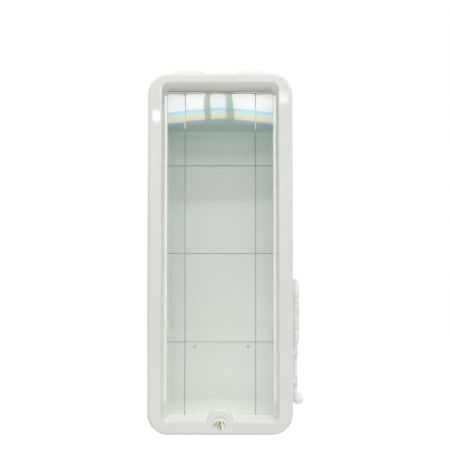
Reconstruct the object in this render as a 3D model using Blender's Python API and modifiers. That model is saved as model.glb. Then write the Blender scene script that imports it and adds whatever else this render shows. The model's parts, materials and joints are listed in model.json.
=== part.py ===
"""Surface-mounted fire extinguisher cabinet with a lift-up cover, in metres.

The wall is the plane y = 0, the front faces -Y and +Z is up. The origin is the centre of the
cabinet's back, on the wall. A moulded tub is screwed to the wall. A moulded cover frame with a
clear break-out panel hangs from two hinges on the tub's top wall and locks at its bottom edge.
A striker for breaking the panel sits in two cradles on the tub's right side.
"""

import math

import bmesh
import bpy
from mathutils import Matrix, Vector

# Cover frame: outline, skirt and wall thickness
FRAME_WIDTH = 0.250
FRAME_HEIGHT = 0.620
FRAME_CORNER = 0.037
FRONT_DEPTH = 0.190
SKIRT_DEPTH = 0.034
SKIRT_DRAFT = 0.0005
FRAME_WALL = 0.0024
OUTER_ROUND = 0.008

# Cover frame: where its face ends and its steep wall and lip end, measured in from the outline
FACE_SIDE = 0.0236
FACE_TOP = 0.0187
FACE_BOTTOM = 0.0225
FACE_ROUND = 0.0028
WALL_RUN = 0.0010
WALL_DROP = 0.0180
LIP_WIDTH = 0.0046
LIP_DROP = 0.0008
CORNER_STEPS = 8

# Clear panel with its break lines
PANEL_THICKNESS = 0.0025
PANEL_UNDER_LIP = 0.0055
PANEL_CORNER = 0.008
BREAK_LINE_X = 0.062
BREAK_LINE_PITCH = 0.155
BREAK_LINE_WIDTH = 0.0018
BREAK_LINE_DEPTH = 0.0009

# Tub
TUB_INSET = 0.010
TUB_WALL = 0.003
TUB_DRAFT = 0.003
TUB_TOP_DRAFT = 0.010
TUB_CORNER = 0.012
TUB_COVE = 0.006
TUB_FLANGE = 0.0024
TUB_FLANGE_CORNER = 0.0185
SEAT_INSET = 0.0114
SEAT_RIB = 0.002
SCREW_HOLE_RADIUS = 0.0043
SCREW_TOP_FROM_TOP = 0.112
SCREW_LOW_FROM_BOTTOM = 0.131
SCREW_LOW_FROM_SIDE = 0.067

# Panel clips and the posts that carry them
CLIP_WIDTH = 0.014
CLIP_THICKNESS = 0.002
CLIP_ON_PANEL = 0.004
CLIP_PAST_POST = 0.001
POST_RADIUS = 0.0030
POST_FROM_FACE_EDGE = 0.0035
SIDE_CLIP_FROM_END = 0.110
END_CLIP_FROM_SIDE = 0.061

# Hinges
HINGE_FROM_SIDE = 0.070
HINGE_WIDTH = 0.049
HINGE_RADIUS = 0.005
HINGE_RISE = 0.0070
HINGE_BEHIND_SKIRT = 0.0045
HINGE_PIN_RADIUS = 0.002
HINGE_TUB_KNUCKLE = 0.018
HINGE_PLATE = 0.0022
HINGE_LUG_FRONT = 0.010
HINGE_LUG_RISE = 0.0078
HINGE_LUG_ROUND = 0.0015
HINGE_TUB_LEAF = 0.036

# Lock
LOCK_ABOVE_EDGE = 0.022
BOSS_BELOW_LOCK = 0.003
BOSS_RADIUS = 0.024
BOSS_WALL = 0.003
BOSS_SET_BACK = 0.0010
BOSS_FLOOR = 0.0048
LOCK_RECESS_RADIUS = 0.0130
LOCK_RECESS_DEPTH = 0.0032
LOCK_WEB = 0.0028
LOCK_HEAD_RADIUS = 0.0113
LOCK_HEAD = 0.0022
LOCK_BARREL_RADIUS = 0.0078
LOCK_BARREL_END = 0.0375
LOCK_NUT_RADIUS = 0.0108
LOCK_NUT = 0.004
PLUG_RADIUS = 0.0055
PLUG_END = 0.0400
KEYWAY_WIDTH = 0.0018
KEYWAY_HEIGHT = 0.0078
KEYWAY_DEPTH = 0.010
CAM_LENGTH = 0.020
CAM_HUB_RADIUS = 0.0055
CAM_THICKNESS = 0.0022
CAM_SCREW_RADIUS = 0.0030
CAM_SCREW = 0.0022
CAM_SCREW_SLOT = 0.0008
CAM_SCREW_SLOT_DEPTH = 0.0010
STRIKE_NEAR_X = 0.012
STRIKE_WIDTH = 0.010
STRIKE_THICKNESS = 0.0020
STRIKE_FOOT = 0.018
STRIKE_RISE = 0.0125
STRIKE_TO_CAM = 0.0012

# Striker
STRIKER_FROM_SIDE = 0.0103
STRIKER_BEHIND_SKIRT = 0.018
KNOB_ABOVE_BOTTOM = 0.0525
TIP_LENGTH = 0.0075
TIP_RADIUS = 0.0045
GRIP_LENGTH = 0.1095
GRIP_TOP_RADIUS = 0.0074
GRIP_LOW_RADIUS = 0.0082
GRIP_EDGE = 0.0012
GRIP_RIBS = 7
GRIP_RIB_RISE = 0.0007
GRIP_RIB_WIDTH = 0.0030
GRIP_RIB_PITCH = 0.0120
GRIP_RIB_START = 0.022
SHANK_LENGTH = 0.099
SHANK_RADIUS = 0.0052
KNOB_RADIUS = 0.0115
KNOB_OUT = 0.0050
CRADLE_WALL = 0.0028
CRADLE_HEIGHT = 0.012
CRADLE_ARM = 0.0045
CRADLE_PAD = 0.026
CRADLE_FROM_GRIP = 0.0145
CRADLE_SPACING = 0.050

# Fits
SEAT_GAP = 0.0003
RUNNING_GAP = 0.0003

# How finely round shapes are divided, and the angle up to which a surface is shaded smooth
ROUND_SIDES = 24
LARGE_ROUND_SIDES = 40
SMALL_ROUND_SIDES = 16
POST_SIDES = 12
NUT_SIDES = 6
ARC_STEPS = 4
BARREL_STEPS = 12
HUB_STEPS = 8
LUG_STEPS = 3
FACE_EDGE_TURN = 75
MOULDING_SMOOTH = 35
TURNED_SMOOTH = 40
BALL_SMOOTH = 60


def clear_scene():
    for existing in list(bpy.data.objects):
        bpy.data.objects.remove(existing, do_unlink=True)


def new_collection(name):
    collection = bpy.data.collections.new(name)
    bpy.context.scene.collection.children.link(collection)
    return collection


def material(name, colour, roughness, metallic=0.0, transmission=0.0):
    made = bpy.data.materials.new(name)
    made.use_nodes = True
    shader = made.node_tree.nodes["Principled BSDF"]
    shader.inputs["Base Color"].default_value = (*colour, 1.0)
    shader.inputs["Roughness"].default_value = roughness
    shader.inputs["Metallic"].default_value = metallic
    shader.inputs["Transmission Weight"].default_value = transmission
    made.diffuse_color = (*colour, 1.0)
    return made


clear_scene()
PARTS = new_collection("fire_extinguisher_cabinet")
CUTTERS = new_collection("cutters")

WHITE = material("white moulding", (0.74, 0.75, 0.74), 0.28)
CLEAR = material("clear sheet", (0.86, 0.92, 0.89), 0.05, transmission=0.9)
ZINC = material("zinc plated steel", (0.62, 0.62, 0.60), 0.35, metallic=1.0)
BRASS = material("brass", (0.62, 0.55, 0.36), 0.30, metallic=1.0)
STEEL = material("bright steel", (0.70, 0.70, 0.70), 0.22, metallic=1.0)

# Planes and axes worked out from the sizes above
FRONT_Y = -FRONT_DEPTH
SKIRT_REAR_Y = FRONT_Y + SKIRT_DEPTH
HALF_WIDTH = FRAME_WIDTH / 2
HALF_HEIGHT = FRAME_HEIGHT / 2
LIP_BACK_Y = FRONT_Y + WALL_DROP + FACE_ROUND + LIP_DROP + FRAME_WALL
PANEL_FRONT_Y = LIP_BACK_Y + SEAT_GAP
PANEL_BACK_Y = PANEL_FRONT_Y + PANEL_THICKNESS
TUB_FRONT_Y = SKIRT_REAR_Y - TUB_WALL
RIB_REAR_Y = TUB_FRONT_Y - SEAT_GAP
LOCK_Z = -HALF_HEIGHT + LOCK_ABOVE_EDGE
BOSS_Z = LOCK_Z - BOSS_BELOW_LOCK
HINGE_X = HALF_WIDTH - HINGE_FROM_SIDE
HINGE_Y = SKIRT_REAR_Y + HINGE_BEHIND_SKIRT
HINGE_Z = HALF_HEIGHT + HINGE_RISE
STEP_IN = FACE_ROUND + WALL_RUN
INNER_SIDE = FACE_SIDE + STEP_IN + LIP_WIDTH
INNER_TOP = FACE_TOP + STEP_IN + LIP_WIDTH
INNER_BOTTOM = FACE_BOTTOM + STEP_IN + LIP_WIDTH
STRIKER_X = HALF_WIDTH + STRIKER_FROM_SIDE
STRIKER_Y = SKIRT_REAR_Y + STRIKER_BEHIND_SKIRT
KNOB_Z = -HALF_HEIGHT + KNOB_ABOVE_BOTTOM
GRIP_LOW_Z = KNOB_Z + SHANK_LENGTH
GRIP_TOP_Z = GRIP_LOW_Z + SEAT_GAP + GRIP_LENGTH
TIP_TOP_Z = GRIP_TOP_Z + SEAT_GAP + TIP_LENGTH


def link(name, mesh, look, collection=PARTS):
    made = bpy.data.objects.new(name, mesh)
    collection.objects.link(made)
    if look is not None:
        mesh.materials.append(look)
    if collection is CUTTERS:
        made.hide_render = True
        made.display_type = "WIRE"
    return made


def from_bmesh(name, bm, look, collection=PARTS, smooth=None):
    mesh = bpy.data.meshes.new(name)
    bmesh.ops.recalc_face_normals(bm, faces=bm.faces)
    bm.to_mesh(mesh)
    bm.free()
    if smooth is not None:
        mesh.shade_smooth()
        mesh.set_sharp_from_angle(angle=math.radians(smooth))
    return link(name, mesh, look, collection)


def box(name, low, high, look=None, collection=PARTS):
    bm = bmesh.new()
    bmesh.ops.create_cube(bm, size=1.0)
    size = Vector(high) - Vector(low)
    bmesh.ops.scale(bm, vec=size, verts=bm.verts)
    made = from_bmesh(name, bm, look, collection)
    made.location = (Vector(low) + Vector(high)) / 2
    return made


def rod(name, radius, start, end, look=None, collection=PARTS, sides=ROUND_SIDES):
    """A cylinder between two points on a line along X, Y or Z."""
    start = Vector(start)
    end = Vector(end)
    bm = bmesh.new()
    bmesh.ops.create_cone(
        bm, cap_ends=True, segments=sides, radius1=radius, radius2=radius, depth=(end - start).length
    )
    turn = Vector((0, 0, 1)).rotation_difference(end - start)
    bmesh.ops.rotate(bm, verts=bm.verts, matrix=turn.to_matrix())
    made = from_bmesh(name, bm, look, collection, smooth=TURNED_SMOOTH)
    made.location = (start + end) / 2
    return made


def boolean(target, tool, operation="DIFFERENCE"):
    modifier = target.modifiers.new(operation.lower() + " " + tool.name, "BOOLEAN")
    modifier.operation = operation
    modifier.solver = "EXACT"
    modifier.object = tool
    return modifier


def boolean_all(target, tools, operation):
    """Join or cut with several tools in one pass."""
    group = bpy.data.collections.new(operation.lower() + " on " + target.name)
    CUTTERS.children.link(group)
    for tool in tools:
        group.objects.link(tool)
        CUTTERS.objects.unlink(tool)
    modifier = target.modifiers.new(group.name, "BOOLEAN")
    modifier.operation = operation
    modifier.solver = "EXACT"
    modifier.operand_type = "COLLECTION"
    modifier.collection = group


def solidify(target, thickness):
    modifier = target.modifiers.new("wall", "SOLIDIFY")
    modifier.thickness = thickness
    modifier.offset = -1.0
    modifier.use_even_offset = True
    return modifier


def outline_loop(bm, side, top, bottom, radius, y):
    """One rounded-rectangle section, measured in from the frame's outline on each side."""
    right = HALF_WIDTH - side
    high = HALF_HEIGHT - top
    low = -HALF_HEIGHT + bottom
    centres = (
        (right - radius, high - radius),
        (-right + radius, high - radius),
        (-right + radius, low + radius),
        (right - radius, low + radius),
    )
    loop = []
    for quarter, (x, z) in enumerate(centres):
        for step in range(CORNER_STEPS + 1):
            angle = math.radians(90) * (quarter + step / CORNER_STEPS)
            spot = (x + radius * math.cos(angle), y, z + radius * math.sin(angle))
            loop.append(bm.verts.new(spot))
    return loop


def bridge(bm, loops):
    for first, second in zip(loops, loops[1:]):
        count = len(first)
        for index in range(count):
            following = (index + 1) % count
            bm.faces.new((first[index], first[following], second[following], second[index]))


def even_section(bm, inset, y, radius=None):
    if radius is None:
        radius = FRAME_CORNER - inset
    return outline_loop(bm, inset, inset, inset, radius, y)


def bezel_sections(bm):
    """The frame's outer surface, from the skirt's rear edge over the face and down to the lip."""
    loops = [even_section(bm, 0.0, SKIRT_REAR_Y)]
    for step in range(ARC_STEPS + 1):
        angle = math.radians(90) * step / ARC_STEPS
        inset = SKIRT_DRAFT + OUTER_ROUND * (1 - math.cos(angle))
        loops.append(even_section(bm, inset, FRONT_Y + OUTER_ROUND * (1 - math.sin(angle))))
    for step in range(ARC_STEPS):
        angle = math.radians(FACE_EDGE_TURN) * step / (ARC_STEPS - 1)
        run = FACE_ROUND * math.sin(angle)
        drop = FACE_ROUND * (1 - math.cos(angle))
        corner = FRAME_CORNER - FACE_SIDE - run
        loops.append(
            outline_loop(bm, FACE_SIDE + run, FACE_TOP + run, FACE_BOTTOM + run, corner, FRONT_Y + drop)
        )
    floor_y = FRONT_Y + FACE_ROUND + WALL_DROP
    corner = FRAME_CORNER - FACE_SIDE - STEP_IN
    margins = (FACE_SIDE + STEP_IN, FACE_TOP + STEP_IN, FACE_BOTTOM + STEP_IN)
    loops.append(outline_loop(bm, *margins, corner, floor_y))
    lip_corner = corner - LIP_WIDTH
    loops.append(outline_loop(bm, INNER_SIDE, INNER_TOP, INNER_BOTTOM, lip_corner, floor_y + LIP_DROP))
    return loops


def clip_places():
    """Each panel clip's label, the spot on the outline that it points in from, and its margins."""
    side = (FACE_SIDE, INNER_SIDE)
    high_z = HALF_HEIGHT - SIDE_CLIP_FROM_END
    end_x = HALF_WIDTH - END_CLIP_FROM_SIDE
    places = []
    for label, x, inward in (("left", -HALF_WIDTH, 1), ("right", HALF_WIDTH, -1)):
        for level, z in (("low", -high_z), ("middle", 0.0), ("high", high_z)):
            places.append((label + "_" + level, Vector((x, 0, z)), Vector((inward, 0, 0)), *side))
    ends = (
        ("bottom", -HALF_HEIGHT, 1, FACE_BOTTOM, INNER_BOTTOM),
        ("top", HALF_HEIGHT, -1, FACE_TOP, INNER_TOP),
    )
    for label, z, inward, face, inner in ends:
        for name, x in (("left", -end_x), ("right", end_x)):
            places.append((label + "_" + name, Vector((x, 0, z)), Vector((0, 0, inward)), face, inner))
    return places


def half_disc(name, radius, near_y, far_y, floor_z):
    """A round bar about the boss's axis, cut flat at the bottom."""
    bar = rod(name, radius, (0, near_y, BOSS_Z), (0, far_y, BOSS_Z), None, CUTTERS, sides=LARGE_ROUND_SIDES)
    bm = bmesh.new()
    bm.from_mesh(bar.data)
    bmesh.ops.translate(bm, vec=bar.location, verts=bm.verts)
    cut = bmesh.ops.bisect_plane(
        bm,
        geom=list(bm.verts) + list(bm.edges) + list(bm.faces),
        plane_co=(0, 0, floor_z),
        plane_no=(0, 0, -1),
        clear_outer=True,
    )
    rim = [item for item in cut["geom_cut"] if isinstance(item, bmesh.types.BMEdge)]
    bmesh.ops.holes_fill(bm, edges=rim)
    bmesh.ops.recalc_face_normals(bm, faces=bm.faces)
    bm.to_mesh(bar.data)
    bm.free()
    bar.location = (0, 0, 0)
    return bar


def build_cover_frame():
    bm = bmesh.new()
    bridge(bm, bezel_sections(bm))
    frame = from_bmesh("cover_frame", bm, WHITE, smooth=MOULDING_SMOOTH)
    solidify(frame, FRAME_WALL)

    bm = bmesh.new()
    rib_front_y = FRONT_Y + FRAME_WALL / 2
    bridge(bm, [even_section(bm, SEAT_INSET, RIB_REAR_Y), even_section(bm, SEAT_INSET, rib_front_y)])
    rib = from_bmesh("seat rib", bm, None, CUTTERS)
    solidify(rib, SEAT_RIB)
    joined = [rib]
    for label, place, inward, face_edge, _ in clip_places():
        spot = place + inward * (face_edge - POST_FROM_FACE_EDGE)
        axis = [(spot.x, FRONT_Y + FRAME_WALL / 2, spot.z), (spot.x, LIP_BACK_Y, spot.z)]
        joined.append(rod("post " + label, POST_RADIUS, *axis, None, CUTTERS, sides=POST_SIDES))
    boss_floor = -HALF_HEIGHT + BOSS_FLOOR
    joined.append(half_disc("lock boss", BOSS_RADIUS, FRONT_Y + BOSS_SET_BACK, LIP_BACK_Y, boss_floor))
    boolean_all(frame, joined, "UNION")

    web_back_y = FRONT_Y + LOCK_RECESS_DEPTH + LOCK_WEB
    hollow_floor = boss_floor + BOSS_WALL
    cuts = [half_disc("boss hollow", BOSS_RADIUS - BOSS_WALL, web_back_y, SKIRT_REAR_Y, hollow_floor)]
    before_y = FRONT_Y - OUTER_ROUND
    axis = [(0, before_y, LOCK_Z), (0, FRONT_Y + LOCK_RECESS_DEPTH, LOCK_Z)]
    cuts.append(rod("lock recess", LOCK_RECESS_RADIUS, *axis, None, CUTTERS, sides=LARGE_ROUND_SIDES))
    axis = [(0, before_y, LOCK_Z), (0, SKIRT_REAR_Y, LOCK_Z)]
    cuts.append(rod("lock hole", LOCK_BARREL_RADIUS + RUNNING_GAP, *axis, None, CUTTERS))
    boolean_all(frame, cuts, "DIFFERENCE")
    return frame


def build_clear_panel():
    bm = bmesh.new()
    side = INNER_SIDE - PANEL_UNDER_LIP
    top = INNER_TOP - PANEL_UNDER_LIP
    bottom = INNER_BOTTOM - PANEL_UNDER_LIP
    loops = [outline_loop(bm, side, top, bottom, PANEL_CORNER, y) for y in (PANEL_FRONT_Y, PANEL_BACK_Y)]
    bridge(bm, loops)
    bm.faces.new(loops[0])
    bm.faces.new(loops[1])
    panel = from_bmesh("clear_panel", bm, CLEAR)
    notch_radius = BOSS_RADIUS - BOSS_WALL
    axis = [(0, PANEL_FRONT_Y - OUTER_ROUND, BOSS_Z), (0, PANEL_BACK_Y + OUTER_ROUND, BOSS_Z)]
    boolean(panel, rod("panel notch", notch_radius, *axis, None, CUTTERS, sides=LARGE_ROUND_SIDES))
    lines = []
    for x in (-BREAK_LINE_X, BREAK_LINE_X):
        lines.append(((x, 0), (BREAK_LINE_WIDTH, FRAME_HEIGHT)))
    middle_z = (INNER_BOTTOM - INNER_TOP) / 2
    for level in (-1, 0, 1):
        lines.append(((0, middle_z + level * BREAK_LINE_PITCH), (FRAME_WIDTH, BREAK_LINE_WIDTH)))
    for number, ((x, z), (width, height)) in enumerate(lines):
        low = (x - width / 2, PANEL_FRONT_Y - BREAK_LINE_DEPTH, z - height / 2)
        high = (x + width / 2, PANEL_FRONT_Y + BREAK_LINE_DEPTH, z + height / 2)
        boolean(panel, box("break line %d" % (number + 1), low, high, None, CUTTERS))
    return panel


def build_panel_clip(label, place, inward, face_edge, inner_edge):
    """A Z-shaped strap from a post on the frame to the panel's back, drawn in its side view."""
    foot = LIP_BACK_Y + SEAT_GAP
    blade = PANEL_BACK_Y + SEAT_GAP
    panel_edge = inner_edge - PANEL_UNDER_LIP
    outer_end = face_edge - POST_FROM_FACE_EDGE - CLIP_PAST_POST
    inner_end = panel_edge + CLIP_ON_PANEL
    step_at = panel_edge - SEAT_GAP
    outline = [
        (outer_end, foot),
        (step_at - CLIP_THICKNESS / 2, foot),
        (step_at, blade),
        (inner_end, blade),
        (inner_end, blade + CLIP_THICKNESS),
        (step_at - CLIP_THICKNESS / 2, blade + CLIP_THICKNESS),
        (step_at - CLIP_THICKNESS, foot + CLIP_THICKNESS),
        (outer_end, foot + CLIP_THICKNESS),
    ]
    across = inward.cross(Vector((0, 1, 0)))
    corners = []
    for inset, y in outline:
        spot = place + inward * inset
        corners.append(Vector((spot.x, y, spot.z)))
    return prism("panel_clip_" + label, corners, across * CLIP_WIDTH, ZINC)


def prism(name, corners, along, look, collection=PARTS):
    """A flat outline carried along a direction, half to each side."""
    bm = bmesh.new()
    flat = bm.faces.new([bm.verts.new(corner - along / 2) for corner in corners])
    swept = bmesh.ops.extrude_face_region(bm, geom=[flat])
    moved = [item for item in swept["geom"] if isinstance(item, bmesh.types.BMVert)]
    bmesh.ops.translate(bm, vec=along, verts=moved)
    return from_bmesh(name, bm, look, collection)


def tub_section(bm, share, extra, y, corner):
    """One section of the tub's inside, share of the way along its draft and a little further in."""
    inset = TUB_INSET + TUB_WALL + extra
    side = inset + TUB_DRAFT * share
    return outline_loop(bm, side, inset + TUB_TOP_DRAFT * share, side, corner, y)


def build_tub():
    """Flange, drafted walls and coved back, as a loft of rounded sections with one wall thickness."""
    bm = bmesh.new()
    corner = TUB_CORNER - TUB_WALL
    cove = TUB_COVE - TUB_WALL
    loops = [
        even_section(bm, TUB_INSET - TUB_FLANGE, TUB_FRONT_Y, TUB_FLANGE_CORNER),
        tub_section(bm, 0.0, 0.0, TUB_FRONT_Y, corner),
    ]
    for step in range(ARC_STEPS + 1):
        angle = math.radians(90) * step / ARC_STEPS
        extra = cove * (1 - math.cos(angle))
        loops.append(tub_section(bm, 1.0, extra, cove * math.sin(angle) - TUB_COVE, corner - extra))
    bridge(bm, loops)
    bm.faces.new(loops[-1])
    tub = from_bmesh("tub", bm, WHITE, smooth=MOULDING_SMOOTH)
    solidify(tub, TUB_WALL)
    low_x = HALF_WIDTH - SCREW_LOW_FROM_SIDE
    low_z = -HALF_HEIGHT + SCREW_LOW_FROM_BOTTOM
    holes = [(0.0, HALF_HEIGHT - SCREW_TOP_FROM_TOP), (-low_x, low_z), (low_x, low_z)]
    for number, (x, z) in enumerate(holes):
        axis = [(x, -TUB_COVE, z), (x, TUB_COVE, z)]
        label = "screw hole %d" % (number + 1)
        hole = rod(label, SCREW_HOLE_RADIUS, *axis, None, CUTTERS, sides=SMALL_ROUND_SIDES)
        boolean(tub, hole)
    return tub


def tub_inset_at(y, draft=TUB_DRAFT):
    """How far the tub's outer wall lies inside the frame's outline at that depth."""
    share = (y - TUB_FRONT_Y) / (-TUB_COVE - TUB_FRONT_Y)
    return TUB_INSET + draft * share


def arc(centre, radius, start, end, steps):
    """Points on an arc in the plane across the hinge pin, as (y, z), angles in degrees."""
    points = []
    for step in range(steps + 1):
        angle = math.radians(start + (end - start) * step / steps)
        points.append((centre[0] + radius * math.cos(angle), centre[1] + radius * math.sin(angle)))
    return points


def knuckle_outline_cover():
    """The moulded lug on the skirt's top, with the hinge barrel at its rear."""
    low = HALF_HEIGHT + SEAT_GAP
    high = HALF_HEIGHT + HINGE_LUG_RISE
    front = FRONT_Y + HINGE_LUG_FRONT
    rounded = arc((front + HINGE_LUG_ROUND, high - HINGE_LUG_ROUND), HINGE_LUG_ROUND, 180, 100, LUG_STEPS)
    barrel = arc((HINGE_Y, HINGE_Z), HINGE_RADIUS, 100, -90, BARREL_STEPS)
    return [(front, low)] + rounded + barrel + [(HINGE_Y, low)]


def knuckle_outline_tub():
    seat_back = HINGE_Y + HINGE_TUB_LEAF
    near = HALF_HEIGHT - tub_inset_at(HINGE_Y, TUB_TOP_DRAFT) + SEAT_GAP
    far = HALF_HEIGHT - tub_inset_at(seat_back, TUB_TOP_DRAFT) + SEAT_GAP
    riser_back = HINGE_Y + HINGE_RADIUS
    curve = arc((HINGE_Y, HINGE_Z), HINGE_RADIUS, 0, 270, BARREL_STEPS)
    return curve + [
        (HINGE_Y, near),
        (seat_back, far),
        (seat_back, far + HINGE_PLATE),
        (riser_back, near + HINGE_PLATE),
    ]


def build_hinge(label, x):
    bore = [(x - HINGE_WIDTH, HINGE_Y, HINGE_Z), (x + HINGE_WIDTH, HINGE_Y, HINGE_Z)]
    corners = [Vector((x, y, z)) for y, z in knuckle_outline_cover()]
    cover_leaf = prism("cover_hinge_leaf_" + label, corners, Vector((HINGE_WIDTH, 0, 0)), WHITE)
    gap = HINGE_TUB_KNUCKLE / 2 + RUNNING_GAP
    reach = HINGE_RADIUS * 2
    low = (x - gap, HINGE_Y - HINGE_RADIUS - RUNNING_GAP, HALF_HEIGHT - reach)
    high = (x + gap, HINGE_Y + reach, HINGE_Z + reach)
    boolean(cover_leaf, box("knuckle gap " + label, low, high, None, CUTTERS))
    bore_radius = HINGE_PIN_RADIUS + RUNNING_GAP
    bore_tool = rod("hinge bore " + label, bore_radius, *bore, None, CUTTERS, sides=SMALL_ROUND_SIDES)
    boolean(cover_leaf, bore_tool)

    corners = [Vector((x, y, z)) for y, z in knuckle_outline_tub()]
    tub_leaf = prism("tub_hinge_leaf_" + label, corners, Vector((HINGE_TUB_KNUCKLE, 0, 0)), WHITE)
    boolean(tub_leaf, bore_tool)

    half = HINGE_WIDTH / 2
    ends = [(x - half, HINGE_Y, HINGE_Z), (x + half, HINGE_Y, HINGE_Z)]
    rod("hinge_pin_" + label, HINGE_PIN_RADIUS, *ends, STEEL, sides=SMALL_ROUND_SIDES)


def build_lock():
    head_back_y = FRONT_Y + LOCK_RECESS_DEPTH - SEAT_GAP
    head_front_y = head_back_y - LOCK_HEAD
    barrel_end_y = FRONT_Y + LOCK_BARREL_END
    bore_radius = PLUG_RADIUS + RUNNING_GAP
    bm = bmesh.new()
    bevel_size = LOCK_HEAD / 2
    profile = [
        (bore_radius, head_front_y),
        (LOCK_HEAD_RADIUS - bevel_size, head_front_y),
        (LOCK_HEAD_RADIUS, head_front_y + bevel_size),
        (LOCK_HEAD_RADIUS, head_back_y),
        (LOCK_BARREL_RADIUS, head_back_y),
        (LOCK_BARREL_RADIUS, barrel_end_y),
        (bore_radius, barrel_end_y),
    ]
    turned("lock_barrel", profile, BRASS, bm)

    nut_front_y = FRONT_Y + LOCK_RECESS_DEPTH + LOCK_WEB + SEAT_GAP
    axis = [(0, nut_front_y, LOCK_Z), (0, nut_front_y + LOCK_NUT, LOCK_Z)]
    nut = rod("lock_nut", LOCK_NUT_RADIUS, *axis, BRASS, sides=NUT_SIDES)
    through = [(0, FRONT_Y, LOCK_Z), (0, 0, LOCK_Z)]
    boolean(nut, rod("nut bore", LOCK_BARREL_RADIUS + SEAT_GAP, *through, None, CUTTERS))

    plug_front_y = head_front_y + BOSS_SET_BACK / 2
    plug_end_y = FRONT_Y + PLUG_END
    plug = rod("lock_plug", PLUG_RADIUS, (0, plug_front_y, LOCK_Z), (0, plug_end_y, LOCK_Z), BRASS)
    low = (-KEYWAY_WIDTH / 2, FRONT_Y, LOCK_Z - KEYWAY_HEIGHT / 2)
    high = (KEYWAY_WIDTH / 2, plug_front_y + KEYWAY_DEPTH, LOCK_Z + KEYWAY_HEIGHT / 2)
    boolean(plug, box("keyway", low, high, None, CUTTERS))

    cam_front_y = plug_end_y + SEAT_GAP
    tip = CAM_HUB_RADIUS - CAM_LENGTH
    outline = arc((tip, LOCK_Z), CAM_HUB_RADIUS, 90, 270, HUB_STEPS)
    outline += arc((0, LOCK_Z), CAM_HUB_RADIUS, -90, 90, HUB_STEPS)
    middle_y = cam_front_y + CAM_THICKNESS / 2
    corners = [Vector((x, middle_y, z)) for x, z in outline]
    prism("lock_cam", corners, Vector((0, CAM_THICKNESS, 0)), ZINC)
    screw_y = cam_front_y + CAM_THICKNESS + SEAT_GAP
    screw_end_y = screw_y + CAM_SCREW
    axis = [(0, screw_y, LOCK_Z), (0, screw_end_y, LOCK_Z)]
    screw = rod("cam_screw", CAM_SCREW_RADIUS, *axis, ZINC, sides=SMALL_ROUND_SIDES)
    half = CAM_SCREW_SLOT / 2
    low = (-CAM_SCREW_RADIUS * 2, screw_end_y - CAM_SCREW_SLOT_DEPTH, LOCK_Z - half)
    high = (CAM_SCREW_RADIUS * 2, screw_end_y + CAM_SCREW_SLOT_DEPTH, LOCK_Z + half)
    boolean(screw, box("cam screw slot", low, high, None, CUTTERS))

    strike_back_y = cam_front_y - STRIKE_TO_CAM
    strike_front_y = strike_back_y - STRIKE_THICKNESS
    foot_back_y = strike_back_y + STRIKE_FOOT
    near = -HALF_HEIGHT + tub_inset_at(strike_front_y) + TUB_WALL + SEAT_GAP
    far = -HALF_HEIGHT + tub_inset_at(foot_back_y) + TUB_WALL + SEAT_GAP
    outline = [
        (strike_front_y, near),
        (strike_front_y, near + STRIKE_RISE),
        (strike_back_y, near + STRIKE_RISE),
        (strike_back_y, near + STRIKE_THICKNESS),
        (foot_back_y, far + STRIKE_THICKNESS),
        (foot_back_y, far),
    ]
    middle_x = STRIKE_NEAR_X + STRIKE_WIDTH / 2
    corners = [Vector((middle_x, y, z)) for y, z in outline]
    prism("lock_strike", corners, Vector((STRIKE_WIDTH, 0, 0)), ZINC)


def turned(name, profile, look, bm):
    """A closed profile of (radius, y) turned about the lock's axis."""
    rim = [bm.verts.new((radius, y, 0)) for radius, y in profile]
    edges = [bm.edges.new((first, second)) for first, second in zip(rim, rim[1:] + rim[:1])]
    bmesh.ops.spin(
        bm,
        geom=rim + edges,
        cent=(0, 0, 0),
        axis=(0, 1, 0),
        angle=math.radians(360),
        steps=ROUND_SIDES,
        use_merge=True,
    )
    bmesh.ops.remove_doubles(bm, verts=bm.verts, dist=0.000001)
    made = from_bmesh(name, bm, look, smooth=TURNED_SMOOTH)
    made.location = (0, 0, LOCK_Z)
    return made


def spun(name, profile, top_z, look):
    """An open profile of (radius, height), top to bottom, turned about the striker's axis."""
    mesh = bpy.data.meshes.new(name)
    bm = bmesh.new()
    points = [bm.verts.new((radius, 0, z)) for radius, z in profile]
    for first, second in zip(points, points[1:]):
        bm.edges.new((first, second))
    bm.to_mesh(mesh)
    bm.free()
    made = link(name, mesh, look)
    made.location = (STRIKER_X, STRIKER_Y, top_z)
    screw = made.modifiers.new("turn", "SCREW")
    screw.axis = "Z"
    screw.steps = ROUND_SIDES
    screw.render_steps = ROUND_SIDES
    screw.use_merge_vertices = True
    screw.merge_threshold = 0.00001
    screw.use_smooth_shade = True
    return made


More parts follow.
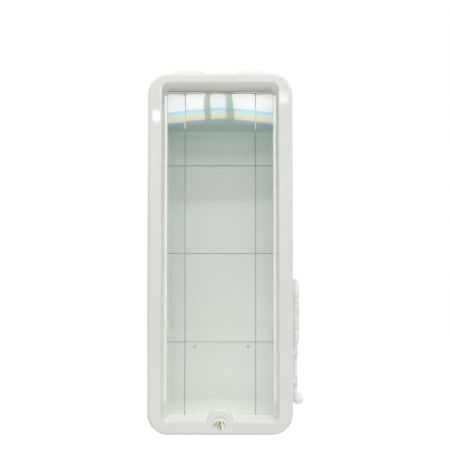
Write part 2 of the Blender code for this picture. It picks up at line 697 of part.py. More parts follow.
def build_striker():
    half = TIP_RADIUS / 2
    tip = [(0, 0), (half, 0), (TIP_RADIUS, -half), (TIP_RADIUS, -TIP_LENGTH), (0, -TIP_LENGTH)]
    spun("striker_tip", tip, TIP_TOP_Z, WHITE)

    grip = [(0, 0), (GRIP_TOP_RADIUS - GRIP_EDGE, 0), (GRIP_TOP_RADIUS, -GRIP_EDGE)]
    for number in range(GRIP_RIBS):
        z = -GRIP_RIB_START - number * GRIP_RIB_PITCH
        radius = GRIP_TOP_RADIUS - (GRIP_LOW_RADIUS - GRIP_TOP_RADIUS) * z / GRIP_LENGTH
        for step in range(ARC_STEPS + 1):
            angle = math.radians(180) * step / ARC_STEPS
            rise = GRIP_RIB_RISE * math.sin(angle)
            grip.append((radius + rise, z + GRIP_RIB_WIDTH / 2 * math.cos(angle)))
    low = -GRIP_LENGTH
    grip += [(GRIP_LOW_RADIUS, low + GRIP_EDGE), (GRIP_LOW_RADIUS - GRIP_EDGE, low), (0, low)]
    spun("striker_grip", grip, GRIP_TOP_Z, WHITE)

    knob_centre = (STRIKER_X + KNOB_OUT, STRIKER_Y, KNOB_Z)
    ball("striker_knob", KNOB_RADIUS, knob_centre, WHITE)
    ends = [(STRIKER_X, STRIKER_Y, GRIP_LOW_Z), (STRIKER_X, STRIKER_Y, KNOB_Z)]
    shank = rod("striker_shank", SHANK_RADIUS, *ends, WHITE)
    boolean(shank, ball("knob seat", KNOB_RADIUS + SEAT_GAP, knob_centre, None, CUTTERS))

    first_cradle_z = GRIP_LOW_Z - CRADLE_FROM_GRIP
    build_cradle("striker_cradle_1", first_cradle_z)
    build_cradle("striker_cradle_2", first_cradle_z - CRADLE_SPACING)


def ball(name, radius, centre, look, collection=PARTS):
    bm = bmesh.new()
    bmesh.ops.create_uvsphere(bm, u_segments=ROUND_SIDES, v_segments=ROUND_SIDES // 2, radius=radius)
    made = from_bmesh(name, bm, look, collection, smooth=BALL_SMOOTH)
    made.location = centre
    return made


def build_cradle(name, z):
    """A U-shaped rest seen from above: a pad on the tub's side wall and two arms round the shank."""
    seat = SHANK_RADIUS + SEAT_GAP
    outer = seat + CRADLE_WALL
    arm_end = STRIKER_X + CRADLE_ARM
    pad_half = CRADLE_PAD / 2
    near_y = STRIKER_Y - pad_half
    far_y = STRIKER_Y + pad_half
    wall_near = HALF_WIDTH - tub_inset_at(near_y) + SEAT_GAP
    wall_far = HALF_WIDTH - tub_inset_at(far_y) + SEAT_GAP
    outline = [
        (wall_near, near_y),
        (wall_near + CRADLE_WALL, near_y),
        (STRIKER_X - outer, STRIKER_Y - outer),
        (arm_end, STRIKER_Y - outer),
        (arm_end, STRIKER_Y - seat),
    ]
    for step in range(HUB_STEPS + 1):
        angle = math.radians(270 - 180 * step / HUB_STEPS)
        outline.append((STRIKER_X + seat * math.cos(angle), STRIKER_Y + seat * math.sin(angle)))
    outline += [
        (arm_end, STRIKER_Y + seat),
        (arm_end, STRIKER_Y + outer),
        (STRIKER_X - outer, STRIKER_Y + outer),
        (wall_far + CRADLE_WALL, far_y),
        (wall_far, far_y),
    ]
    corners = [Vector((x, y, z)) for x, y in outline]
    return prism(name, corners, Vector((0, 0, CRADLE_HEIGHT)), WHITE)


def hang_on(empty_name, place, names):
    """Parent the named pieces to an empty on the joint's axis, leaving them where they are."""
    empty = bpy.data.objects.new(empty_name, None)
    empty.location = place
    PARTS.objects.link(empty)
    for name in names:
        piece = bpy.data.objects[name]
        piece.parent = empty
        piece.matrix_parent_inverse = Matrix.Translation(place).inverted()


build_tub()
build_cover_frame()
build_clear_panel()
for clip in clip_places():
    build_panel_clip(*clip)
build_hinge("left", -HINGE_X)
build_hinge("right", HINGE_X)
build_lock()
build_striker()

cover_names = [piece.name for piece in PARTS.objects if piece.name.startswith(("panel_clip", "cover_"))]
cover_names += ["clear_panel", "lock_barrel", "lock_nut"]
hang_on("cover axis", Vector((0, HINGE_Y, HINGE_Z)), cover_names)
hang_on("lock axis", Vector((0, FRONT_Y, LOCK_Z)), ["lock_plug", "lock_cam", "cam_screw"])
striker_names = ["striker_tip", "striker_grip", "striker_shank", "striker_knob"]
hang_on("striker axis", Vector((STRIKER_X, STRIKER_Y, TIP_TOP_Z)), striker_names)
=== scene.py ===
"""Looks for the fire extinguisher cabinet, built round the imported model.

The axes are the model's own, in metres: +Z up, -Y out of the wall, the tub's back on Y = 0.
"""
import json
import math

import bmesh
import bpy
from mathutils import Matrix, Vector


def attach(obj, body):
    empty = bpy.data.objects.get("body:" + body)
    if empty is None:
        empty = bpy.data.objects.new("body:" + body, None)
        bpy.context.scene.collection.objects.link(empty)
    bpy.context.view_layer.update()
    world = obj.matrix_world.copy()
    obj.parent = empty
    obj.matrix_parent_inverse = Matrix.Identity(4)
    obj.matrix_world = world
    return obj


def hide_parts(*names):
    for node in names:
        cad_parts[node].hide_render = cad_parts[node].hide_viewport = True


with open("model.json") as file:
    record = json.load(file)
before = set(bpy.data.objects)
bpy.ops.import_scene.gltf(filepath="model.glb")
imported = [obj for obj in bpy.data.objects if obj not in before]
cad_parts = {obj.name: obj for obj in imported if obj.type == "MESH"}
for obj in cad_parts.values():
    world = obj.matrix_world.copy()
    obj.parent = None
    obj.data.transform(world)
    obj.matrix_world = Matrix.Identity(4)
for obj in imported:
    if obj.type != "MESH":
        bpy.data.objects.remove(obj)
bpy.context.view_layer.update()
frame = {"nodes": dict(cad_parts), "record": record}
NODES = frame["nodes"]
SCENE = bpy.context.scene

# Where the photograph was taken from
CAMERA_PLACE = (0.01216, -0.83146, -0.08787)
CAMERA_PITCH = math.radians(0.981)
CAMERA_YAW = math.radians(0.2155)
CAMERA_ROLL = math.radians(0.017)
CAMERA_LENS = 30.395
CAMERA_SENSOR = 36.0
CAMERA_SHIFT = (-0.00166, 0.16249)
CAMERA_NEAR = 0.01

# The stage
WHITE = (1.0, 1.0, 1.0, 1.0)
WORLD_LIGHT = 0.380
FLOOR_Z = -0.52
FLOOR_REACH = 6.0
FLOOR_COLOUR = (0.86, 0.86, 0.86, 1.0)
FLOOR_GLOW = 0.60
LAMPS = (
    # name, place, aim, width and height, power
    ("low strip", (0.15, -2.4, 0.95), (0, -0.1, 0.1), (5.0, 0.14), 12.0),
    ("high strip", (0.15, -1.9, 1.75), (0, -0.1, 0.1), (4.6, 0.12), 22.0),
    ("top strip", (0.40, -1.60, 3.60), (0, -0.1, 0.1), (4.0, 0.50), 74.0),
    ("behind", (0.2, 2.60, 0.20), (0, 0, 0.1), (3.0, 1.5), 20.0),
)

# The cover's frame. Where there are three values they are for the sides, the top and the bottom.
FRONT_Y = -0.190
HALF_WIDTH = 0.125
HALF_HEIGHT = 0.310
FRAME_CORNER = 0.037
FRAME_WALL = 0.0024
SKIRT_REAR_Y = -0.156
SKIRT_DRAFT = 0.0005
OUTER_ROUND = 0.008
FACE = (0.0236, 0.0187, 0.0225)
FACE_HOLD = 0.0006  # how far inside the flat face its supporting loops stand
WALLS = ((0.0029, 83), (0.0056, 86), (0.0029, 81))  # the round into the inner wall, and its turn in degrees
WALL_END_SLOPE = 0.035
WALL_SHARES = (0, 0.004, 0.012, 0.025, 0.042, 0.064, 0.090, 0.15, 0.25, 0.38, 0.52, 0.68, 0.84, 1)
STEP_IN = 0.0038
LIP = 0.0046
LIP_Y = FRONT_Y + 0.0208
LIP_DROP = 0.0008
LIP_EASE = (0.0007, 0.0001)  # how far short of the lip's edge it starts to drop, and the drop there
LIP_BACK_Y = LIP_Y + LIP_DROP + FRAME_WALL
CREASE = ((-0.0900, LIP_Y - 0.001, 0.2843), (0.0900, LIP_Y + 0.0017, 0.28765))  # sunk along the top lip
CORNER_STEPS = 20
ROUND_STEPS = 8

# The seat rib and the posts behind the frame
RIB_INSET = 0.0114
RIB_WALL = 0.002
RIB_REAR_Y = -0.1593
RIB_FRONT_Y = FRONT_Y + FRAME_WALL / 2
POST_RADIUS = 0.003
POST_SIDES = 24
CLIP_INSET = 0.0035
CLIP_LEVELS = (-0.200, 0.0, 0.200)
CLIP_ENDS_X = 0.064

# The boss
BOSS_Z = -0.291
BOSS_RADIUS = 0.024
BOSS_FRONT_Y = FRONT_Y + 0.0010
BOSS_ROUND = 0.0075
BOSS_ROUND_STEPS = 10
BOSS_FLOOR_Z = -0.3052
HOLLOW_RADIUS = 0.021
HOLLOW_FRONT_Y = FRONT_Y + 0.0060
HOLLOW_FLOOR_Z = BOSS_FLOOR_Z + 0.003

# The lock
LOCK_Z = -0.288
DISH = (
    (0, -0.01), (0.0290, -0.01), (0.0150, 0.0001), (0.0130, 0.0005), (0.0116, 0.0010), (0.0115, 0.0032),
    (0, 0.0032),
)
BARREL_HOLE_RADIUS = 0.0081
BARREL_RADIUS = 0.0078
BARREL_END_Y = FRONT_Y + 0.0375
BORE_RADIUS = 0.0058
HEAD_RADIUS = 0.0113
HEAD_BACK_Y = FRONT_Y + 0.0029
HEAD_FRONT_Y = HEAD_BACK_Y - 0.0022
PLUG_RADIUS = 0.0056
PLUG_FRONT_Y = HEAD_FRONT_Y + 0.0001
PLUG_END_Y = FRONT_Y + 0.040
SLOT = (0.00095, 0.0036, 0.009)  # half width, half height and depth
MOUTH = (0.0019, 0.0002, 0.0034, 0.0012)  # half width, lower and upper edge above the middle, depth
SHUTTER = (0.00090, 0.0035, 0.0011, 0.0035)  # half width, half height, depth of its front, of its back

# The clear panel and its break lines
PANEL_FRONT_Y = LIP_BACK_Y + 0.0003
PANEL_BACK_Y = PANEL_FRONT_Y + 0.0025
PANEL_TUCK = 0.0055
PANEL_CORNER = 0.008
PANEL_STEPS = 8
NOTCH_RADIUS = 0.021
LINE_X = 0.062
LINE_Z = 0.0019
LINE_PITCH = 0.155
GROOVE_WIDTH = 0.0018
GROOVE_DEPTH = 0.0011
GROOVE_OUT = 0.0004  # how far its cutter stands out of the panel
GROOVE_REACH = (0.12, 0.32)  # past the panel's edges, along X and Z

# The tub
TUB_FRONT_Y = -0.159
TUB_WALL = 0.003
TUB_RIM = (0.0076, 0.0185)  # the rim's inset and its corner
TUB_INSET = 0.010 + TUB_WALL
TUB_CORNER = 0.012 - TUB_WALL
TUB_COVE = 0.006 - TUB_WALL
TUB_COVE_Y = -0.006
TUB_COVE_STEPS = 6
TUB_DRAFTS = (0.003, 0.010)  # how much further in the back is, at the sides and the bottom, and at the top
TUB_STEPS = 10
TUB_MIDDLE = (0.0, -0.08, 0.0)
TUB_LEVELS = (0.083, 0.002, -0.234, -0.290)
SCREW_PLACES = ((0, 0.198), (-0.058, -0.179), (0.058, -0.179))
SCREW_HOLE_RADIUS = 0.0043
# The plugs' outline; the grey lower ones are painted shade, standing in for the shade inside the holes
BUNG = (
    (0, -0.0026), (0.0010, -0.0026), (0.0016, -0.0033), (0.0034, -0.0034), (0.0041, -0.0030),
    (0.0042, -0.0024), (0.0042, -0.0006), (0.0036, -0.0002), (0, -0.0002),
)

# The striker, from the ball up
STRIKER_X = 0.1353
STRIKER_Y = -0.138
BALL_Z = -0.2575
BALL_RADIUS = 0.0115
BALL_ASIDE = 0.005
BALL_STEPS = 24
GRIP_LOW_Z = BALL_Z + 0.099
GRIP_LENGTH = 0.1095
GRIP_RADIUS = 0.0074
GRIP_TAPER = 0.0008
JOINT_GAP = 0.0003
GRIP_TOP_Z = GRIP_LOW_Z + JOINT_GAP + GRIP_LENGTH
TIP_LENGTH = 0.0075
TIP_TOP_Z = GRIP_TOP_Z + JOINT_GAP + TIP_LENGTH
RINGS = 7
RING_FIRST_Z = -0.022
RING_PITCH = 0.012
RING_HALF = 0.0015
RING_STEPS = 8
RING_SINK = 0.0007
RING_GROOVE = (0.0019, 0.0024)  # where the groove's bottom and its edge lie, from the ring's middle
TIP = ((0, 0), (0.0022, 0), (0.0036, -0.0011), (0.0045, -0.0026), (0.0045, -TIP_LENGTH), (0, -TIP_LENGTH))
SHANK = ((0, 0), (0.0052, 0), (0.0052, -0.0885), (0.0058, -0.0895), (0, -0.0895))

# The studio light that the panel mirrors, on a card in front of it
CARD_Y = -2.0
CARD_CORNERS = ((-0.55, 1.06), (0.50, 1.06), (0.50, 1.36), (-0.55, 1.36))
CARD_POWER = 8.2
CARD_TOP_Z = 1.340
CARD_MAIN = (-0.030, 0.365, 0.02)  # the middle's X, its reach and its fade
CARD_GAPS = ((-0.119, 0.010, 0.020), (0.028, 0.014, 0.022))
CARD_GAP_DEPTH = 0.76
CARD_BOW = (0.035, 0.004, 0.12)  # how far left its middle is, how round it is there, and its slope
CARD_BAND = (1.12, 1.28)  # the heights between which the colours run
CARD_COLOURS = (
    (0.00, (0.0, 0.0, 0.0)),
    (0.06, (0.00, 0.04, 0.16)),
    (0.14, (0.02, 0.08, 0.34)),
    (0.20, (0.22, 0.10, 0.34)),
    (0.25, (0.78, 0.40, 0.22)),
    (0.32, (0.80, 0.62, 0.38)),
    (0.40, (0.74, 0.68, 0.48)),
    (0.49, (0.62, 0.74, 0.76)),
    (0.57, (0.56, 0.72, 0.90)),
    (0.61, (0.26, 0.44, 0.82)),
    (0.65, (0.30, 0.48, 0.84)),
    (0.69, (0.88, 0.84, 0.96)),
    (1.00, (1.00, 0.84, 0.93)),
)
CARD_LIFT = (1.55, 1.2745, 1.2805)  # how much brighter the top rows are, and the heights where that starts
CARD_LEFT = ((-0.443, 0.024, 0.010), (1.122, 0.048, 0.012))  # a broken patch, along X and Z
CARD_RIGHT = ((0.384, 0.034, 0.010), (1.252, 0.024, 0.008))
CARD_RIGHT_SHARE = 0.42
CARD_PATCH_POWER = 6.8

# How the white moulding shines
SHINE = {"IOR": 1.50, "Specular_IOR_Level": 0.08, "Coat_Weight": 0.7, "Coat_Roughness": 0.05}

# Painted reflections on the plated lock: paler and browner rays, round from one side to the other
LOCK_PAINTED_REFLECTIONS = (
    (0.14, (0.50, 0.50, 0.44)),
    (0.24, (0.28, 0.29, 0.20)),
    (0.33, (0.50, 0.50, 0.39)),
    (0.40, (0.32, 0.32, 0.23)),
    (0.46, (0.52, 0.51, 0.42)),
    (0.52, (0.20, 0.22, 0.16)),
    (0.57, (0.52, 0.52, 0.40)),
    (0.64, (0.59, 0.59, 0.50)),
    (0.74, (0.30, 0.32, 0.24)),
    (0.84, (0.52, 0.53, 0.47)),
)

# Painted shade on the tub's inside, darker and greener over the upper part and the ceiling, a little darker
# towards the bottom: the heights where each starts and is full, and its colour
TUB_PAINTED_SHADES = (
    (0.05, 0.20, (0.870, 0.910, 0.870)),
    (0.270, 0.282, (0.74, 0.86, 0.79)),
    (-0.10, -0.22, (0.878, 0.888, 0.858)),
)

# Painted light and shade in the frame's recess: the inner wall painted paler than the face, its top and bottom
# ends painted less pale and the lip under the top painted dark, as shade; and between which places they fade
# in
RECESS_PAINTED_LIGHT_AND_SHADE = {"wall": (0.885, 0.892, 0.858), "lip": (0.430, 0.468, 0.370), "ends": (0.735, 0.744, 0.710)}
RECESS_WALL_Y = (FRONT_Y + 0.0015, FRONT_Y + 0.0060)
RECESS_TOP_Z = (0.262, 0.272)
RECESS_TOP_X = (0.084, 0.097)
RECESS_TOP_Y = (FRONT_Y + 0.004, FRONT_Y + 0.018)
RECESS_LOW_Z = (-0.250, -0.262)
RECESS_BOSS_X = 0.0245
RECESS_LIP_Y = (LIP_Y + 0.0015, 0.0022)  # the lip's middle and its reach
RECESS_LIP_Z = 0.2800


class Nodes:
    """A small builder for one material's node tree."""

    def __init__(self, name):
        self.material = bpy.data.materials.new(name)
        self.material.use_nodes = True
        self.tree = self.material.node_tree
        self.tree.nodes.clear()
        self.output = self.add("ShaderNodeOutputMaterial")

    def add(self, kind, **settings):
        node = self.tree.nodes.new(kind)
        for key, value in settings.items():
            setattr(node, key, value)
        return node

    def feed(self, socket, value):
        """Link an output to the socket, or set the socket's own value."""
        if isinstance(value, bpy.types.NodeSocket):
            self.tree.links.new(value, socket)
        else:
            socket.default_value = value

    def shader(self, kind, **inputs):
        """A shader of that kind; an underscore in an input's name stands for a space."""
        node = self.add("ShaderNodeBsdf" + kind)
        for name, value in inputs.items():
            self.feed(node.inputs[name.replace("_", " ")], value)
        return node.outputs[0]

    def mix_shader(self, share, first, second):
        node = self.add("ShaderNodeMixShader")
        for socket, value in zip(node.inputs, (share, first, second)):
            self.feed(socket, value)
        return node.outputs[0]

    def ray(self, *kinds):
        """One for a ray of any of these kinds, such as Camera or Glossy."""
        path = self.add("ShaderNodeLightPath")
        found = path.outputs["Is " + kinds[0] + " Ray"]
        for kind in kinds[1:]:
            found = self.math("MAXIMUM", found, path.outputs["Is " + kind + " Ray"])
        return found

    def place(self, scale=(1.0, 1.0, 1.0)):
        """The object's own coordinates, stretched."""
        coordinates = self.add("ShaderNodeTexCoord")
        mapping = self.add("ShaderNodeMapping")
        mapping.inputs["Scale"].default_value = scale
        self.feed(mapping.inputs["Vector"], coordinates.outputs["Object"])
        return mapping.outputs["Vector"]

    def noise(self, scale, detail, roughness=0.5, stretch=(1.0, 1.0, 1.0)):
        node = self.add("ShaderNodeTexNoise")
        node.inputs["Scale"].default_value = scale
        node.inputs["Detail"].default_value = detail
        node.inputs["Roughness"].default_value = roughness
        self.feed(node.inputs["Vector"], self.place(stretch))
        return node.outputs["Fac"]

    def ramp(self, value, stops):
        node = self.add("ShaderNodeValToRGB")
        elements = node.color_ramp.elements
        while len(elements) > 1:
            elements.remove(elements[-1])
        for number, (position, colour) in enumerate(stops):
            element = elements[0] if number == 0 else elements.new(position)
            element.position = position
            element.color = (*colour, 1.0)
        self.feed(node.inputs["Fac"], value)
        return node.outputs["Color"]

    def spread(self, value, low, high, start, end):
        """From low to high while the value goes from start to end."""
        node = self.add("ShaderNodeMapRange")
        self.feed(node.inputs["Value"], value)
        node.inputs["From Min"].default_value = start
        node.inputs["From Max"].default_value = end
        node.inputs["To Min"].default_value = low
        node.inputs["To Max"].default_value = high
        return node.outputs["Result"]

    def math(self, operation, first, second=0.0):
        node = self.add("ShaderNodeMath", operation=operation)
        self.feed(node.inputs[0], first)
        self.feed(node.inputs[1], second)
        return node.outputs[0]

    def product(self, first, *others):
        for other in others:
            first = self.math("MULTIPLY", first, other)
        return first

    def bump(self, height, strength):
        node = self.add("ShaderNodeBump")
        node.inputs["Strength"].default_value = strength
        node.inputs["Distance"].default_value = 0.0001
        self.feed(node.inputs["Height"], height)
        return node.outputs["Normal"]

    def mix(self, share, first, second):
        """Colour between two, by a share."""
        node = self.add("ShaderNodeMix", data_type="RGBA")
        factor, first_colour, second_colour, result = 0, 6, 7, 2
        self.feed(node.inputs[factor], share)
        self.feed(node.inputs[first_colour], first)
        self.feed(node.inputs[second_colour], second)
        return node.outputs[result]

    def axes(self):
        """The object's X, Y and Z in metres."""
        coordinates = self.add("ShaderNodeTexCoord")
        split = self.add("ShaderNodeSeparateXYZ")
        self.feed(split.inputs[0], coordinates.outputs["Object"])
        return split.outputs

    def inward(self, centre):
        """One where the surface faces the centre, nought where it faces away."""
        coordinates = self.add("ShaderNodeTexCoord")
        offset = self.add("ShaderNodeVectorMath", operation="SUBTRACT")
        self.feed(offset.inputs[0], coordinates.outputs["Object"])
        offset.inputs[1].default_value = centre
        facing = self.add("ShaderNodeVectorMath", operation="DOT_PRODUCT")
        self.feed(facing.inputs[0], offset.outputs["Vector"])
        self.feed(facing.inputs[1], coordinates.outputs["Normal"])
        return self.math("LESS_THAN", facing.outputs["Value"], 0.0)

    def distance(self, value, centre):
        return self.math("ABSOLUTE", self.math("SUBTRACT", value, centre))

    def near(self, value, centre, reach):
        """One within reach of the centre, nought outside."""
        return self.math("LESS_THAN", self.distance(value, centre), reach)

    def hump(self, value, centre, reach, fade):
        """One within reach of the centre, falling to nought over the fade."""
        node = self.add("ShaderNodeMapRange", interpolation_type="SMOOTHSTEP")
        self.feed(node.inputs["Value"], self.distance(value, centre))
        node.inputs["From Min"].default_value = reach
        node.inputs["From Max"].default_value = reach + fade
        node.inputs["To Min"].default_value = 1.0
        node.inputs["To Max"].default_value = 0.0
        return node.outputs["Result"]

    def finish(self, shader):
        self.feed(self.output.inputs["Surface"], shader)
        return self.material


def recess_painted_light_and_shade(look, colour, x, y, z):
    """Painted light and shade in the frame's recess: the inner wall painted paler than the face, its top and
    bottom ends less pale, and a dark painted shade on the lip under the top.
    """
    aside = look.math("ABSOLUTE", x)
    painted_shade_top = look.product(
        look.spread(z, 0.0, 1.0, *RECESS_TOP_Z),
        look.spread(aside, 1.0, 0.0, *RECESS_TOP_X),
        look.spread(y, 0.35, 1.25, *RECESS_TOP_Y),
    )
    beside_boss = look.math("GREATER_THAN", aside, RECESS_BOSS_X)
    painted_shade_low = look.product(look.spread(z, 0.0, 0.6, *RECESS_LOW_Z), beside_boss)
    ends = look.math("MAXIMUM", painted_shade_top, painted_shade_low)
    depth = look.spread(y, 0.0, 1.0, *RECESS_WALL_Y)
    colour = look.mix(depth, colour, look.mix(ends, (*RECESS_PAINTED_LIGHT_AND_SHADE["wall"], 1.0), (*RECESS_PAINTED_LIGHT_AND_SHADE["ends"], 1.0)))
    # painted shade on the lip under the top wall
    lip = look.product(look.near(y, *RECESS_LIP_Y), look.math("GREATER_THAN", z, RECESS_LIP_Z))
    return look.mix(lip, colour, (*RECESS_PAINTED_LIGHT_AND_SHADE["lip"], 1.0))


def white_moulding(name, low, high, levels=(), painted_shades=(), recess=False):
    """Glossy injection-moulded plastic: slight waviness and faint handling haze, with moulded level lines, and
    optional painted shade on the tub's inside and painted light and shade in the frame's recess.
    """
    look = Nodes(name)
    colour = look.ramp(look.noise(9.0, 2.0), ((0.30, low), (0.70, high)))
    roughness = look.spread(look.noise(55.0, 5.0, 0.6), 0.27, 0.34, 0.35, 0.65)
    height = look.noise(24.0, 1.0)
    x, y, z = look.axes()
    for level in levels:
        on_back = look.math("GREATER_THAN", y, -0.02)
        line = look.product(look.hump(z, level, 0.0006, 0.0012), on_back, 4.0)
        height = look.math("ADD", height, line)
    inside = look.inward(TUB_MIDDLE) if painted_shades else 0.0
    # painted shade: bands of darker colour on the tub's inside, by height
    for start, end, painted_shade_colour in painted_shades:
        share = look.product(inside, look.spread(z, 0.0, 1.0, start, end))
        colour = look.mix(share, colour, (*painted_shade_colour, 1.0))
    # painted light and shade in the frame's recess
    if recess:
        colour = recess_painted_light_and_shade(look, colour, x, y, z)
    normal = look.bump(height, 0.05)
    shader = look.shader("Principled", Base_Color=colour, Roughness=roughness, Normal=normal, **SHINE)
    return look.finish(shader)


def clear_sheet():
    """Clear acrylic, painted darker in its scored lines as shade, with a painted pale highlight on the upright
    ones near the top.
    """
    look = Nodes("clear_sheet")
    x, y, z = look.axes()
    aside = look.math("ABSOLUTE", x)
    # painted shade: where the scored lines are, for a darker colour
    line = look.near(aside, LINE_X, GROOVE_WIDTH / 2)
    for level in (0, -1, 1):
        line = look.math("MAXIMUM", line, look.near(z, LINE_Z + level * LINE_PITCH, GROOVE_WIDTH / 2))
    line = look.product(line, look.math("LESS_THAN", y, PANEL_BACK_Y - 0.0008))
    middle = look.product(look.near(x, 0.0, LINE_X), look.near(z, LINE_Z, LINE_PITCH))
    clear = look.mix(middle, (0.950, 0.985, 0.955, 1.0), (0.985, 0.987, 0.965, 1.0))
    sheet = look.shader(
        "Principled",
        Base_Color=look.mix(line, clear, (0.46, 0.50, 0.44, 1.0)),
        Roughness=look.spread(look.noise(14.0, 4.0, 0.6), 0.006, 0.014, 0.4, 0.7),
        IOR=1.49,
        Transmission_Weight=1.0,
    )
    # painted highlight: a pale diffuse white on the upright lines near the top
    painted_glint = look.product(look.hump(z, 0.242, 0.018, 0.006), look.near(aside, LINE_X + 0.0002, 0.0006), 0.85)
    sheet = look.mix_shader(painted_glint, sheet, look.shader("Diffuse", Color=(0.95, 0.97, 0.97, 1.0)))
    lit_through = look.shader("Transparent", Color=(0.980, 0.995, 0.982, 1.0))
    return look.finish(look.mix_shader(look.ray("Shadow", "Diffuse"), sheet, lit_through))


def metal(name, low, high, roughness, streak):
    """Metal with fine streaks along one way."""
    look = Nodes(name)
    grain = look.noise(240.0, 4.0, 0.6, (1.0, streak, 1.0))
    shader = look.shader(
        "Principled",
        Base_Color=look.ramp(grain, ((0.3, low), (0.7, high))),
        Roughness=look.spread(grain, roughness - 0.07, roughness + 0.10, 0.3, 0.7),
        Normal=look.bump(grain, 0.2),
        Metallic=1.0,
    )
    return look.finish(shader)


def lock_metal():
    """Bright plating over brass, with its reflections painted on: paler and browner rays fanning round a point
    above the lock's middle, a painted highlight over the upper part and one even painted tone at the head's
    rim.
    """
    look = Nodes("lock_metal")
    x, _, z = look.axes()
    around = look.math("ARCTAN2", x, look.math("SUBTRACT", LOCK_Z + 0.0125, z))
    wander = look.spread(look.noise(260.0, 2.0), -0.10, 0.10, 0.3, 0.7)
    # painted reflections: colour by the angle round a point above the lock's middle
    painted_reflection_rays = look.ramp(look.spread(look.math("ADD", around, wander), 0.0, 1.0, -1.0, 1.0), LOCK_PAINTED_REFLECTIONS)
    # painted highlight: paler over the upper part
    painted_highlight_top = look.spread(z, 0.0, 0.85, LOCK_Z + 0.0010, LOCK_Z + 0.0070)
    colour = look.mix(painted_highlight_top, painted_reflection_rays, (0.66, 0.67, 0.63, 1.0))
    upright = look.math("SUBTRACT", z, LOCK_Z)
    out = look.math("SQRT", look.math("ADD", look.product(x, x), look.product(upright, upright)))
    # painted reflection: one even tone at the head's rim
    rim = look.spread(out, 0.0, 0.8, 0.0096, 0.0112)
    colour = look.mix(rim, colour, (0.62, 0.63, 0.58, 1.0))
    roughness = look.spread(look.noise(900.0, 2.0), 0.18, 0.32, 0.3, 0.7)
    return look.finish(look.shader("Principled", Base_Color=colour, Roughness=roughness, Metallic=1.0))


LOOKS = {
    "lock_metal": lock_metal(),
    "white_moulding": white_moulding("white_moulding", (0.812, 0.818, 0.786), (0.830, 0.836, 0.806)),
    # The cover, tub and knob are copies of the one white moulding, painted darker or paler for how light falls
    # on them: the cover darker, the tub and the knob paler
    "white_cover": white_moulding("white_cover", (0.678, 0.686, 0.655), (0.698, 0.705, 0.675), recess=True),
    "white_tub": white_moulding(
        "white_tub", (0.888, 0.904, 0.874), (0.905, 0.920, 0.890), TUB_LEVELS, TUB_PAINTED_SHADES
    ),
    "white_knob": white_moulding("white_knob", (0.840, 0.846, 0.818), (0.858, 0.863, 0.838)),
    # painted shade: the grey of the lower plugs stands in for the shade inside the holes
    "bung": white_moulding("bung", (0.62, 0.63, 0.60), (0.68, 0.69, 0.66)),
    "shutter": metal("shutter", (0.10, 0.10, 0.07), (0.17, 0.16, 0.12), 0.45, 0.2),
    "clear_sheet": clear_sheet(),
    "zinc_plated": metal("zinc_plated", (0.50, 0.50, 0.49), (0.68, 0.68, 0.66), 0.34, 0.1),
    "brass": metal("brass", (0.46, 0.41, 0.28), (0.72, 0.66, 0.50), 0.28, 0.2),
    "bright_steel": metal("bright_steel", (0.62, 0.62, 0.62), (0.76, 0.76, 0.76), 0.20, 0.1),
}


def bevel(made, width, segments=3, angle=40):
    modifier = made.modifiers.new("edges", "BEVEL")
    modifier.width = width
    modifier.segments = segments
    modifier.limit_method = "ANGLE"
    modifier.angle_limit = math.radians(angle)


def dress_solids():
    """Give every solid its look, and the leaves, cradles and clips soft edges."""
    for row in frame["record"]["subparts"]:
        node = NODES[row["node"]]
        node.data.materials.clear()
        node.data.materials.append(LOOKS[row["material_slot"]])
        if any(word in node.name for word in ("hinge_leaf", "cradle", "clip")):
            bevel(node, 0.0005, angle=50)


def rounded_loop(bm, side, top, bottom, radius, y, steps=CORNER_STEPS):
    """One rounded-rectangle section, measured in from the frame's outline."""
    right = HALF_WIDTH - side
    high = HALF_HEIGHT - top
    low = -HALF_HEIGHT + bottom
    centres = (
        (right - radius, high - radius),
        (-right + radius, high - radius),
        (-right + radius, low + radius),
        (right - radius, low + radius),
    )
    loop = []
    for quarter, (x, z) in enumerate(centres):
        for step in range(steps + 1):
            angle = math.radians(90) * (quarter + step / steps)
            loop.append(bm.verts.new((x + radius * math.cos(angle), y, z + radius * math.sin(angle))))
    return loop


def even_loop(bm, inset, radius, y, steps=CORNER_STEPS):
    """One rounded-rectangle section with the same margin all round."""
    return rounded_loop(bm, inset, inset, inset, radius, y, steps)


def bridge(bm, loops):
    """Faces between each loop and the next."""
    for first, second in zip(loops, loops[1:]):
        count = len(first)
        for index in range(count):
            following = (index + 1) % count
            bm.faces.new((first[index], first[following], second[following], second[index]))


def shade(mesh, smooth):
    mesh.shade_smooth()
    mesh.set_sharp_from_angle(angle=math.radians(smooth))


def piece(name, bm, look=None, smooth=40):
    """An object from the mesh under construction."""
    mesh = bpy.data.meshes.new(name)
    bmesh.ops.recalc_face_normals(bm, faces=bm.faces)
    bm.to_mesh(mesh)
    bm.free()
    shade(mesh, smooth)
    made = bpy.data.objects.new(name, mesh)
    SCENE.collection.objects.link(made)
    if look is not None:
        mesh.materials.append(LOOKS[look])
    return made


def settle(made, smooth=40):
    """Apply the piece's modifiers to its mesh."""
    bpy.context.view_layer.update()
    graph = bpy.context.evaluated_depsgraph_get()
    mesh = bpy.data.meshes.new_from_object(made.evaluated_get(graph))
    made.modifiers.clear()
    made.data = mesh
    shade(mesh, smooth)


def solidify(made, thickness):
    modifier = made.modifiers.new("wall", "SOLIDIFY")
    modifier.thickness = thickness
    modifier.offset = -1.0
    modifier.use_even_offset = True


def cut(made, tools):
    for tool in tools:
        modifier = made.modifiers.new(tool.name, "BOOLEAN")
        modifier.operation = "DIFFERENCE"
        modifier.solver = "EXACT"
        modifier.object = tool


def discard(tools):
    for tool in tools:
        bpy.data.objects.remove(tool, do_unlink=True)


